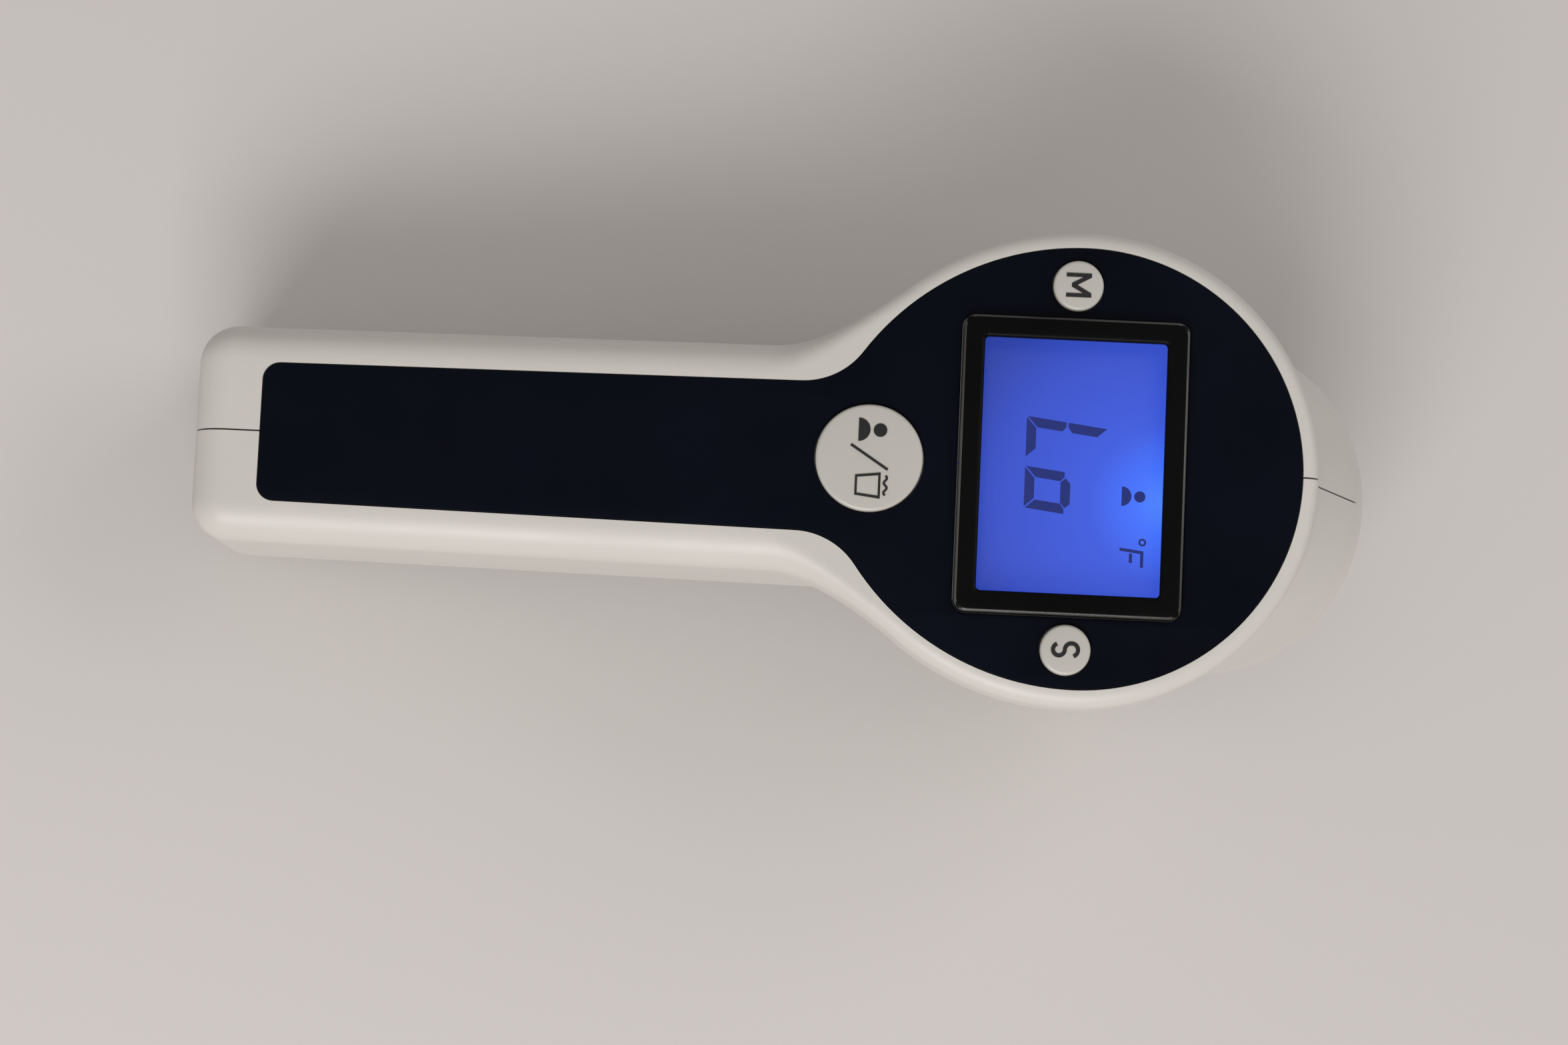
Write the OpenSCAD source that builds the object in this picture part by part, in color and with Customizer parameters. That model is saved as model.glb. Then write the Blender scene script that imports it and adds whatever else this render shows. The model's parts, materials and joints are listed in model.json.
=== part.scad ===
// Pistol-style non-contact forehead thermometer.
// Device axes: x runs along the face from the butt of the handle to the top of the head,
// y points to the left side of the face, z = 0 is the face plane and the body lies below it.
// pose() then lays the device face up on the ground, resting on its nose ring and its heel.

/* [Face] */
// Length of the face from the butt to the top of the head
face_len = 150; // [148:0.5:153]
// Outer radius of the round head
head_r = 31.9; // [31.5:0.1:32.5]
// Width of the white rim around the head
head_rim = 2.3; // [2:0.1:2.5]
// Width of the handle at the butt
butt_w = 28.8; // [28.4:0.1:29.4]
// Width of the handle at the neck
neck_w = 31; // [30.6:0.1:31.6]
// Width of the dark panel at the butt
panel_butt_w = 18.6; // [18:0.1:19.2]
// Width of the dark panel at the neck
panel_neck_w = 20.1; // [19.6:0.1:20.6]
// Distance from the butt to the end of the dark panel
panel_end = 9; // [8.5:0.1:10]

/* [Body] */
// Depth of the handle from the face to the finger side
handle_d = 30; // [29.5:0.5:32]
// Wall thickness of the housing halves
wall = 2; // [1.8:0.1:2]
// Edge rounding of the handle
edge_r = 5; // [4.6:0.1:5]
// Gap between the two housing halves
seam_gap = 0.1; // [0.05:0.05:0.2]

/* [Nozzle] */
// Lean of the nozzle towards the top of the head, in degrees
lean = 30; // [28:1:31]
// Depth of the nozzle's mouth centre below the face
mouth_depth = 42; // [41:0.5:44]
// Outer radius of the nozzle's mouth
mouth_r = 24; // [23.8:0.1:24.2]
// Rounding of the nose ring's lip
lip_r = 1.5; // [1.2:0.1:1.6]
// Height of the flats trimmed on the nose ring and the heel
rest_trim = 0.4; // [0.3:0.05:0.5]

/* [Display] */
// Distance of the display's centre from the centre of the head, towards the handle
display_back = 1.2; // [1:0.1:1.4]
// Display frame size along the device
bezel_l = 30.1; // [29.8:0.1:30.4]
// Display frame size across the device
bezel_w = 39.7; // [39.4:0.1:40]
// Visible display size along the device
view_l = 24.3; // [24:0.1:24.6]
// Visible display size across the device
view_w = 33.5; // [33.2:0.1:33.8]
// Height of the display frame above the face
bezel_h = 1.3; // [1:0.1:1.6]

/* [Controls] */
// Radius of the mode button
mode_r = 7.15; // [7:0.05:7.3]
// Distance from the butt to the mode button
mode_x = 90; // [89.6:0.1:90.4]
// Radius of the two small buttons
side_r = 3.35; // [3.2:0.05:3.5]
// Distance of the small buttons from the centre line
side_y = 24.35; // [24.2:0.05:24.5]
// Travel of the face buttons
press = 0.6; // [0.4:0.1:0.7]
// Travel of the trigger
pull = 1.8; // [1.4:0.1:2]
// Width of the trigger
trigger_w = 12; // [11:0.5:12]

/* [Hidden] */

$fn = 64;
tiny = 0.02;
fit_gap = 0.15;

head_x = face_len - head_r;
display_x = head_x - display_back;
handle_end = head_x - 14.1;
pocket_d = 1;
panel_t = 0.8;
panel_top = -0.15;
side_plate_d = 12;

// Nozzle axis: root point, direction and length, all in the plane y = 0.
nose_root = [head_x, 0, -4];
nose_len = (mouth_depth - 4) / cos(lean);
barrel_start = 14;
barrel_root_r = 26.5;
barrel_end_r = mouth_r + 0.3;
ring_len = 4;
cone_len = 20.5;

// Tilt at which the nose ring and the heel touch the ground together.
heel = [edge_r, edge_r - handle_d];
chin_s = nose_len - lip_r;
chin = [head_x + chin_s * sin(lean) - (mouth_r - lip_r) * cos(lean),
        -4 - chin_s * cos(lean) - (mouth_r - lip_r) * sin(lean)];
chin_span = chin - heel;
tilt = asin((lip_r - edge_r) / norm(chin_span)) - atan2(chin_span[1], chin_span[0]);
lift = edge_r - heel[0] * sin(tilt) - heel[1] * cos(tilt) - rest_trim;
// Shift that centres the tilted device over the origin, from its butt and its nozzle's tip.
tip = [head_x + chin_s * sin(lean) + (mouth_r - lip_r) * cos(lean),
       -4 - chin_s * cos(lean) + (mouth_r - lip_r) * sin(lean)];
butt_reach = edge_r * (cos(tilt) + sin(tilt) - 1);
tip_reach = tip[0] * cos(tilt) - tip[1] * sin(tilt) + lip_r;
shift = -(butt_reach + tip_reach) / 2;

// Stack heights below the face.
floor_z = -wall;
glass_top = floor_z - 0.1;
glass_t = 2;
board_top = -8;
board_t = 1.2;
board_low = board_top - board_t;
guide_t = 2.8;

// Batteries: two AAA cells side by side.
cell_r = 5.2;
cell_len = 44.5;
nub_r = 1.9;
nub_h = 0.9;
cell_y = 5.5;
cell_z = -20.4;
bay_x0 = 9.8;
bay_x1 = 58.1;
plate_t = 0.4;
spring_len = 2.7;

// Screw places in device x and z; the screws run along y.
post_r = 3;
screw_r = 1.25;
handle_posts = [[20, -8, 13.4], [66, -20, 13.9]];
head_posts = [[head_x + 22.6, -7.5, 24], [handle_end - 3.1, -24, 24]];
posts = concat(handle_posts, head_posts);
board_posts = [[head_x - 21, 15], [head_x - 21, -15], [head_x + 15.5, 21.5], [head_x + 15.5, -21.5]];

trigger_x0 = 77.5;
trigger_x1 = 94.5;
switch_x = 84;
spring_x = 90.2;
rib_z = -15.5;

module pose() {
    translate([shift, 0, lift]) rotate([0, -tilt, 0]) children();
}

module along_nozzle() {
    translate(nose_root) rotate([0, 180 - lean, 0]) children();
}

// Points of an arc from angle a0 to a1.
function arc(cx, cy, r, a0, a1, n) =
    [for (i = [0:n]) let (a = a0 + (a1 - a0) * i / n) [cx + r * cos(a), cy + r * sin(a)]];

function flipped(pts) = [for (i = [len(pts) - 1:-1:0]) [pts[i][0], -pts[i][1]]];

// Half outline of a round head that flares into a tapering handle.
function paddle_half(r, flare_r, neck_h, butt_h, x_end, fillet, corner) =
    let (
        rise = neck_h + fillet - (r - flare_r),
        back = sqrt(pow(flare_r + fillet, 2) - rise * rise),
        turn = atan2(rise, -back)
    )
    concat(
        arc(head_x, 0, r, 0, 90, 20),
        arc(head_x, r - flare_r, flare_r, 90, turn, 10),
        arc(head_x - back, neck_h + fillet, fillet, turn + 180, 270, 6),
        arc(x_end + corner, butt_h - corner, corner, 90, 180, 6)
    );

module paddle(r, flare_r, neck_h, butt_h, x_end, fillet, corner) {
    half = paddle_half(r, flare_r, neck_h, butt_h, x_end, fillet, corner);
    polygon(concat(half, flipped(half)));
}

module panel_outline(gap) {
    paddle(head_r - head_rim - gap, 36, panel_neck_w / 2 - gap, panel_butt_w / 2 - gap,
           panel_end + gap, 10 + gap, 2.3);
}

module rounded_plate(l, w, r, t) {
    linear_extrude(t) {
        square([l - 2 * r, w], center = true);
        square([l, w - 2 * r], center = true);
        for (sx = [-1, 1], sy = [-1, 1])
            translate([sx * (l / 2 - r), sy * (w / 2 - r)]) circle(r);
    }
}

// Rounded, tapering handle, inset by a given amount.
module handle_body(inset) {
    r = edge_r - inset;
    hull() {
        for (sy = [-1, 1], z = [-edge_r, edge_r - handle_d]) {
            translate([edge_r, sy * (butt_w / 2 - edge_r), z]) sphere(r, $fn = 24);
            translate([handle_end - edge_r, sy * (neck_w / 2 - edge_r), z]) sphere(r, $fn = 24);
        }
    }
}

// Round head: a rim, a straight side and a taper towards the nozzle.
module head_body(inset) {
    r = head_r - inset;
    translate([head_x, 0, 0]) rotate_extrude($fn = 96)
        polygon(concat(
            [[0, -27 + inset], [25 - inset, -27 + inset], [r, -side_plate_d]],
            arc(r - 2, -2 - inset, 2, 0, 90, 6),
            [[0, -inset]]
        ));
}

// Plate that fills the corners between the handle and the head.
module neck_body(inset) {
    translate([0, 0, -side_plate_d + inset])
        linear_extrude(side_plate_d - 2 - 2 * inset) intersection() {
            paddle(head_r - inset - 0.1, 38.2, neck_w / 2 - inset - 0.05, butt_w / 2 - inset - 0.05,
                   30, 8 + inset, 2);
            translate([75, -head_r]) square([head_x - 77, 2 * head_r]);
        }
}

module barrel_body(inset, s_end) {
    along_nozzle() rotate_extrude($fn = 96)
        polygon([[0, barrel_start + inset], [barrel_root_r - inset, barrel_start + inset],
                 [barrel_end_r - inset, s_end], [0, s_end]]);
}

module body_solid() {
    handle_body(0);
    head_body(0);
    neck_body(0);
    barrel_body(0, nose_len - ring_len - 0.1);
}

module body_cavity() {
    handle_body(wall);
    head_body(wall);
    neck_body(wall);
    barrel_body(wall, nose_len);
}

module face_openings() {
    translate([0, 0, -pocket_d]) linear_extrude(pocket_d + 1) panel_outline(0);
    translate([display_x, 0, -wall - 1]) linear_extrude(wall + 1)
        square([view_l + 2.6, view_w + 2.6], center = true);
    translate([mode_x, 0, -wall - 1]) cylinder(r = mode_r + fit_gap + 0.05, h = wall + 2);
    for (sy = [-1, 1])
        translate([display_x, sy * side_y, -wall - 1])
            cylinder(r = side_r + fit_gap + 0.05, h = wall + 2);
}

// Slot and grooves that the battery cover slides in.
cover_len = 62;
cover_w = 17.2;
tongue_w = 18.8;
tongue_t = 1;
module cover_track() {
    translate([-1, -cover_w / 2 - 0.2, -handle_d - 1]) cube([cover_len + 1.3, cover_w + 0.4, 6]);
    translate([-1, -tongue_w / 2 - 0.2, -handle_d + 0.95])
        cube([cover_len + 1.3, tongue_w + 0.4, tongue_t + 0.5]);
}

module trigger_slot() {
    translate([trigger_x0 - 0.3, -trigger_w / 2 - 0.3, -handle_d - 1])
        cube([trigger_x1 - trigger_x0 + 0.6, trigger_w + 0.6, 6]);
}

module screw_post(p, side) {
    translate([p[0], side * seam_gap / 2, p[1]]) rotate([-90 * side, 0, 0])
        cylinder(r = post_r, h = p[2]);
}

// Posts, board bosses and spring ribs on one side; side is 1 for left, -1 for right.
module inner_posts(side) {
    for (p = handle_posts) screw_post(p, side);
    intersection() {
        for (p = head_posts) screw_post(p, side);
        head_body(0.3);
    }
    for (p = board_posts)
        if (p[1] * side > 0)
            translate([p[0], p[1], board_top + tiny]) cylinder(r = 2.2, h = -board_top - wall + 0.3);
    translate([spring_x - 3, side > 0 ? seam_gap / 2 : -neck_w / 2 + 1, rib_z])
        cube([6, neck_w / 2 - 1 - seam_gap / 2, 1.5]);
}

module ground_cut(height) {
    translate([-200, -100, height - 40]) cube([400, 200, 40]);
}

module half_space(side) {
    translate([-20, side > 0 ? seam_gap / 2 : -60 - seam_gap / 2, -80]) cube([220, 60, 100]);
}

module housing_half(side) {
    intersection() {
        difference() {
            body_solid();
            body_cavity();
            face_openings();
            cover_track();
            trigger_slot();
        }
        half_space(side);
    }
}

module left_housing() {
    color("ghostwhite") difference() {
        pose() difference() {
            union() {
                housing_half(1);
                inner_posts(1);
            }
            for (p = posts) translate([p[0], 0, p[1]]) rotate([-90, 0, 0]) {
                translate([0, 0, -1]) cylinder(r = screw_r + 0.15, h = 20);
                translate([0, 0, 5]) cylinder(r = 2.55, h = 40);
            }
            for (p = board_posts) if (p[1] > 0)
                translate([p[0], p[1], board_top - 1]) cylinder(r = 0.95, h = 5);
        }
        ground_cut(0);
    }
}

module right_housing() {
    color("white") difference() {
        pose() difference() {
            union() {
                housing_half(-1);
                inner_posts(-1);
            }
            for (p = posts)
                translate([p[0], 1, p[1]]) rotate([90, 0, 0]) cylinder(r = screw_r + 0.03, h = 10);
            for (p = board_posts) if (p[1] < 0)
                translate([p[0], p[1], board_top - 1]) cylinder(r = 0.95, h = 5);
        }
        ground_cut(0);
    }
}

module face_panel() {
    color("midnightblue") pose() translate([0, 0, panel_top - panel_t])
        linear_extrude(panel_t) difference() {
            panel_outline(0.08);
            translate([display_x, 0]) square([bezel_l + 0.3, bezel_w + 0.3], center = true);
            translate([mode_x, 0]) circle(mode_r + fit_gap);
            for (sy = [-1, 1]) translate([display_x, sy * side_y]) circle(side_r + fit_gap);
        }
}

module lcd_bezel() {
    color("black") pose() translate([display_x, 0, 0]) difference() {
        translate([0, 0, -pocket_d + tiny]) rounded_plate(bezel_l, bezel_w, 1.6, bezel_h + pocket_d);
        translate([0, 0, -5]) rounded_plate(view_l, view_w, 0.6, 10);
        translate([0, 0, -5]) rounded_plate(view_l + 2.2, view_w + 2.2, 0.8, 5.25);
    }
}

module display_window() {
    color("lightblue", 0.4) pose() translate([display_x, 0, -0.85])
        rounded_plate(view_l + 1.9, view_w + 1.9, 0.7, 1);
}

module lcd_glass() {
    color("royalblue") pose() translate([display_x - 15, -18, glass_top - glass_t])
        cube([28.5, 36, glass_t]);
}

module light_guide() {
    color("aliceblue") pose()
        translate([display_x - 12.4, -17.9, glass_top - glass_t - guide_t - 0.1])
            cube([25.6, 35.8, guide_t]);
}

module lcd_holder() {
    holder_top = glass_top;
    color("gainsboro") pose() difference() {
        translate([display_x - 16.4, -19.5, board_top + 0.1])
            cube([31.4, 39, holder_top - board_top - 0.1]);
        translate([display_x - 15.1, -18.1, glass_top - glass_t - 0.05]) cube([28.7, 36.2, 5]);
        translate([display_x - 12.5, -18, board_top + 0.5]) cube([25.8, 36, 8]);
        translate([display_x - 15.1, -17, board_top - 1]) cube([2.2, 34, 8]);
    }
}

module zebra_strip() {
    color("hotpink") pose() translate([display_x - 14.9, -16.8, board_top + 0.05])
        cube([1.8, 33.6, glass_top - glass_t - board_top - 0.1]);
}

module main_board() {
    color("darkgreen") pose() translate([0, 0, board_low]) linear_extrude(board_t) difference() {
        union() {
            intersection() {
                translate([head_x, 0]) circle(28.8, $fn = 96);
                translate([head_x - 24, -30]) square([43, 60]);
            }
            translate([79.5, -12]) square([head_x - 100, 24]);
        }
        for (p = board_posts) translate(p) circle(1.15);
    }
}

module microcontroller() {
    color("dimgray") pose() translate([104, 6, board_low - 1.25]) cube([10, 10, 1.2]);
}

module buzzer() {
    color("black") pose() translate([107, -11, board_low - 4.05]) difference() {
        cylinder(r = 6, h = 4);
        translate([0, 0, -1]) cylinder(r = 1, h = 3);
    }
}

// Push switch body, standing on a board at the origin; travel is the depth left under the stem.
module switch_body(h, travel) {
    difference() {
        translate([-3, -3, 0.05]) cube([6, 6, h - 0.05]);
        translate([0, 0, h - travel - 1]) cylinder(r = 1.75, h = travel + 2);
    }
}

module switch_stem(h, top) {
    translate([0, 0, h - 0.7]) cylinder(r = 1.65, h = top - h + 0.7);
}

switch_h = 3.4;
stem_top = -board_top - 3.25;

module mode_switch() {
    color("silver") pose() translate([mode_x, 0, board_top]) switch_body(switch_h, press);
}

module memory_switch() {
    color("silver") pose() translate([display_x, side_y, board_top]) switch_body(switch_h, press);
}

module setup_switch() {
    color("silver") pose() translate([display_x, -side_y, board_top]) switch_body(switch_h, press);
}

module mode_switch_stem() {
    color("orange") pose() translate([mode_x, 0, board_top]) switch_stem(switch_h, stem_top);
}

module memory_switch_stem() {
    color("orange") pose() translate([display_x, side_y, board_top]) switch_stem(switch_h, stem_top);
}

module setup_switch_stem() {
    color("orange") pose() translate([display_x, -side_y, board_top]) switch_stem(switch_h, stem_top);
}

// Button cap with a gently rounded top and a flange that keeps it in the housing.
module button(r, crown) {
    rotate_extrude()
        polygon(concat(
            [[0, -3.2], [r + 0.9, -3.2], [r + 0.9, -2.15], [r, -2.15]],
            arc(r - 0.5, crown - 0.5, 0.5, 0, 75, 4),
            [[0, crown + 0.12]]
        ));
}

module mode_button() {
    color("whitesmoke") pose() translate([mode_x, 0, 0]) button(mode_r, 0.7);
}

module memory_button() {
    color("whitesmoke") pose() translate([display_x, side_y, 0]) button(side_r, 0.8);
}

module setup_button() {
    color("whitesmoke") pose() translate([display_x, -side_y, 0]) button(side_r, 0.8);
}

// Trigger: a finger pad with a curved front, a flange inside the wall and a post for the switch.
trigger_out = 5;
module trigger() {
    pad_l = trigger_x1 - trigger_x0;
    scoop_r = 14;
    top_z = -handle_d + wall + 1.6;
    color("slategray") pose() {
        difference() {
            translate([trigger_x0, -trigger_w / 2, -handle_d - trigger_out])
                cube([pad_l, trigger_w, top_z + handle_d + trigger_out]);
            translate([trigger_x0 + pad_l / 2, 0, -handle_d - trigger_out - scoop_r + 2])
                rotate([90, 0, 0]) cylinder(r = scoop_r, h = trigger_w + 2, center = true, $fn = 96);
        }
        translate([trigger_x0 - 1, -trigger_w / 2 - 1, -handle_d + wall + 0.3])
            cube([pad_l + 2, trigger_w + 2, 1.3]);
        translate([switch_x, 0, top_z - tiny]) cylinder(r = 2.2, h = -18 - top_z);
        translate([spring_x, 0, top_z - tiny]) cylinder(r = 1.2, h = 3);
    }
}

// Round wire wound into a helix along z, closed as one solid.
module coil(mean_r, wire_r, turns, length) {
    per_turn = 14;
    sides = 6;
    steps = turns * per_turn;
    rise = length - 2 * wire_r;
    rings = [for (i = [0:steps]) let (a = 360 * i / per_turn, z = wire_r + rise * i / steps)
        [for (j = [0:sides - 1]) let (b = 360 * j / sides, d = mean_r + wire_r * cos(b))
            [d * cos(a), d * sin(a), z + wire_r * sin(b)]]];
    points = [for (ring = rings, p = ring) p];
    sides_faces = [for (i = [0:steps - 1], j = [0:sides - 1])
        [i * sides + j, i * sides + (j + 1) % sides,
         (i + 1) * sides + (j + 1) % sides, (i + 1) * sides + j]];
    caps = [[for (j = [sides - 1:-1:0]) j], [for (j = [0:sides - 1]) steps * sides + j]];
    polyhedron(points, concat(caps, sides_faces), convexity = 8);
}

spring_low = -handle_d + wall + 1.65;
module trigger_spring() {
    color("gray") pose() translate([spring_x, 0, spring_low])
        coil(2, 0.25, 5, rib_z - spring_low - 0.05);
}

module trigger_switch() {
    color("silver") pose() translate([switch_x, 0, board_low]) mirror([0, 0, 1])
        switch_body(5.6, pull + 0.2);
}

module trigger_switch_stem() {
    color("orange") pose() translate([switch_x, 0, board_low]) mirror([0, 0, 1])
        switch_stem(5.6, board_low + 18 - 3 * tiny);
}

module nose_ring() {
    s0 = nose_len - ring_len;
    color("gainsboro") difference() {
        pose() along_nozzle() rotate_extrude($fn = 96)
            polygon(concat(
                [[20.4, s0 - 5], [mouth_r - 2.05, s0 - 5], [mouth_r - 2.05, s0], [mouth_r, s0]],
                arc(mouth_r - lip_r, nose_len - lip_r, lip_r, 0, 90, 6),
                [[20.4 + 0.6, nose_len], [20.4, nose_len - 0.6]]
            ));
        ground_cut(0);
    }
}

cone_top = nose_len - 1;
cone_low = cone_top - cone_len;
module sensor_cone() {
    color("dimgray") pose() along_nozzle() rotate_extrude($fn = 96)
        polygon([[20.2, cone_top], [18.6, cone_top], [5, cone_low + 0.6], [3.4, cone_low + 0.6],
                 [3.4, cone_low], [6, cone_low], [18.9, cone_top - 2.4], [18.9, cone_top - 5],
                 [20.2, cone_top - 5]]);
}

// Collar that holds the sensor can behind the cone.
module sensor_collar() {
    color("goldenrod") pose() along_nozzle() translate([0, 0, cone_low - 5.3])
        difference() {
            cylinder(r = 7.5, h = 5.2);
            translate([0, 0, -1]) cylinder(r = 4.75, h = 5.4);
            cylinder(r = 3.4, h = 6);
        }
}

module thermopile_sensor() {
    color("silver") pose() along_nozzle() translate([0, 0, cone_low - 5.2]) {
        difference() {
            union() {
                cylinder(r = 4.6, h = 0.7);
                cylinder(r = 4.1, h = 4.2);
            }
            translate([0, 0, 3.6]) cylinder(r = 2.4, h = 1);
        }
        for (a = [45:90:315]) rotate(a) translate([2.5, 0, -2.6]) cylinder(r = 0.22, h = 2.7, $fn = 16);
    }
}

module sensor_window() {
    color("darkslategray") pose() along_nozzle() translate([0, 0, cone_low - 1.58])
        cylinder(r = 2.3, h = 0.5);
}

module sensor_board() {
    color("green") pose() along_nozzle() translate([0, 0, cone_low - 6.6]) difference() {
        cylinder(r = 8.5, h = 1.2);
        for (a = [45:90:315]) rotate(a) translate([2.5, 0, -1]) cylinder(r = 0.3, h = 4, $fn = 16);
    }
}

module battery_cover() {
    cover_low = -handle_d + 0.3;
    color("lavender") difference() {
        pose() intersection() {
            handle_body(0);
            union() {
                translate([-1, -cover_w / 2, cover_low]) cube([cover_len + 1, cover_w, 2]);
                translate([-1, -tongue_w / 2, -handle_d + 1.15])
                    cube([cover_len + 1, tongue_w, tongue_t]);
            }
        }
        ground_cut(0.3);
    }
}

module battery_tray() {
    color("dimgray") pose() difference() {
        translate([8.4, -11.9, -26]) cube([51.1, 23.8, 12.3]);
        translate([bay_x0 - 0.1, -10.95, -27]) cube([bay_x1 - bay_x0 + 0.1, 21.9, 12.1]);
        translate([20, 0, -8]) rotate([90, 0, 0]) cylinder(r = post_r + 0.3, h = 40, center = true);
    }
}

module cell() {
    rotate_extrude()
        polygon([[0, 0], [cell_r - 0.3, 0], [cell_r, 0.3], [cell_r, cell_len - nub_h - 0.3],
                 [cell_r - 0.3, cell_len - nub_h], [nub_r, cell_len - nub_h],
                 [nub_r, cell_len], [0, cell_len]]);
}

cell_1_x = bay_x0 + plate_t + spring_len + 0.1;
module battery_1() {
    color("goldenrod") pose() translate([cell_1_x, cell_y, cell_z]) rotate([0, 90, 0]) cell();
}

module battery_2() {
    color("goldenrod") pose() translate([bay_x0 + plate_t + 0.05 + cell_len, -cell_y, cell_z])
        rotate([0, -90, 0]) cell();
}

module bridge_contact() {
    color("silver") pose() translate([bay_x0, -9.5, cell_z - 4]) cube([plate_t, 19, 8]);
}

module end_contact(side) {
    translate([bay_x1 - plate_t - 0.05, side * cell_y - 4, cell_z - 4]) cube([plate_t, 8, 8]);
}

module positive_contact() {
    color("silver") pose() end_contact(1);
}

module negative_contact() {
    color("silver") pose() end_contact(-1);
}

module battery_spring_1() {
    color("gray") pose() translate([bay_x0 + plate_t + 0.05, cell_y, cell_z]) rotate([0, 90, 0])
        coil(2.6, 0.25, 3, spring_len);
}

module battery_spring_2() {
    cell_2_end = bay_x0 + plate_t + 0.05 + cell_len;
    color("gray") pose() translate([cell_2_end + 0.05, -cell_y, cell_z]) rotate([0, 90, 0])
        coil(2.6, 0.25, 3, bay_x1 - plate_t - cell_2_end - 0.2);
}

module housing_screws() {
    color("silver") pose()
        for (p = posts) translate([p[0], 5.02, p[1]]) rotate([-90, 0, 0]) difference() {
            union() {
                cylinder(r = 2.4, h = 1.6);
                translate([0, 0, -11.5]) cylinder(r = screw_r, h = 11.6);
            }
            for (a = [0, 90]) rotate(a) translate([-1.3, -0.3, 0.8]) cube([2.6, 0.6, 2]);
        }
}

module board_screws() {
    color("silver") pose()
        for (p = board_posts) translate([p[0], p[1], board_low - 0.05]) {
            translate([0, 0, -1.2]) cylinder(r = 1.9, h = 1.2);
            translate([0, 0, -0.1]) cylinder(r = 0.9, h = 4.8);
        }
}

// Round wire through a list of points.
module wire(points, r) {
    for (i = [0:len(points) - 2]) {
        d = points[i + 1] - points[i];
        flat = norm([d[0], d[1]]);
        translate(points[i]) rotate([0, atan2(flat, d[2]), atan2(d[1], d[0])])
            cylinder(r = r, h = norm(d), $fn = 16);
        if (i > 0) translate(points[i]) sphere(r + 0.08, $fn = 16);
    }
}

// Lead from the battery contacts to the main board, on the left side.
module battery_lead() {
    wire([[60.2, 8, -20], [60.7, 8, -12.2], [76, 9.5, -11], [81.5, 9.5, -11],
          [81.5, 9.5, board_low - 0.05]], 0.55);
}

module positive_lead() {
    color("red") pose() battery_lead();
}

module negative_lead() {
    color("black") pose() mirror([0, 1, 0]) battery_lead();
}

// Four leads from the sensor board to the main board.
module sensor_leads() {
    start_s = cone_low - 6.65;
    color("white") pose()
        for (i = [-1.5:1:1.5])
            wire([[head_x + start_s * sin(lean) - 6 * cos(lean), i * 1.4,
                   -4 - start_s * cos(lean) - 6 * sin(lean)],
                  [head_x + start_s * sin(lean) - 8, i * 1.4, -13],
                  [head_x - 3, i * 1.4, -11.2],
                  [head_x - 3, i * 1.4, board_low - 0.05]], 0.4);
}

left_housing();
right_housing();
face_panel();
lcd_bezel();
display_window();
lcd_glass();
light_guide();
lcd_holder();
zebra_strip();
main_board();
microcontroller();
buzzer();
mode_switch();
memory_switch();
setup_switch();
mode_switch_stem();
memory_switch_stem();
setup_switch_stem();
mode_button();
memory_button();
setup_button();
trigger();
trigger_spring();
trigger_switch();
trigger_switch_stem();
nose_ring();
sensor_cone();
sensor_collar();
thermopile_sensor();
sensor_window();
sensor_board();
battery_cover();
battery_tray();
battery_1();
battery_2();
bridge_contact();
positive_contact();
negative_contact();
battery_spring_1();
battery_spring_2();
housing_screws();
board_screws();
positive_lead();
negative_lead();
sensor_leads();
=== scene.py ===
"""Looks of an infrared forehead thermometer that lies face up on its nose ring and its heel.

Lengths named here are millimetres in device axes: x along the face from the butt of the handle to
the top of the head, y to the left side of the face, z = 0 on the face plane and the body below it.
PLACE maps them to the row frame, from the press axis of the mode button and the display frame.
"""
import json
import math

import bmesh
import bpy
import numpy as np
from mathutils import Matrix, Vector


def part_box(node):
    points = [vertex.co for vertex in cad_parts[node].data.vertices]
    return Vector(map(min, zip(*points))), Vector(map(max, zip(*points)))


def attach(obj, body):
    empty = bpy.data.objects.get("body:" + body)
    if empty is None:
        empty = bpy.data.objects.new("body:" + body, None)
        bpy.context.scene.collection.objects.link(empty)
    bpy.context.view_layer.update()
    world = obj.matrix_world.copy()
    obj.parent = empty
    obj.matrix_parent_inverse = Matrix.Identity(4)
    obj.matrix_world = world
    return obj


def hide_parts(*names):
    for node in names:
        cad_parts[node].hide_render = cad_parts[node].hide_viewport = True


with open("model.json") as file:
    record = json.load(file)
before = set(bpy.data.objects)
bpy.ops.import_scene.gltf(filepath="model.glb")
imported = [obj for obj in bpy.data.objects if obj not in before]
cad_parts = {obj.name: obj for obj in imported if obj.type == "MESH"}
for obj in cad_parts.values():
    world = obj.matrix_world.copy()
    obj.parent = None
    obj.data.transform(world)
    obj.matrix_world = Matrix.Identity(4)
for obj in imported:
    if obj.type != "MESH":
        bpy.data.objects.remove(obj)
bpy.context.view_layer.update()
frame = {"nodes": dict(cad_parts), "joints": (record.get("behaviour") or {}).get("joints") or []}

MM = 0.001

# Face
FACE_LEN = 150.0
HEAD_R = 31.9
HEAD_X = FACE_LEN - HEAD_R
HEAD_RIM = 2.3
DISPLAY_X = HEAD_X - 1.2
MODE_X = 90.0
SIDE_Y = 24.35
MODE_R = 7.15
SIDE_R = 3.35
PANEL_TOP = -0.15
PANEL_T = 0.8
POCKET_D = 1.0

# Body
BUTT_H = 14.4
NECK_H = 15.5
HANDLE_END = HEAD_X - 14.1
HANDLE_D = 30.0
WALL = 2.0
SEAM = 0.22
BUTT_R = 5.0
HANDLE_TOP_R = 4.6
RIM_TOP_R = 2.0
LOW_R = 5.5
BODY_FLARE_R = 38.2
BODY_FILLET = 8.0

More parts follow.
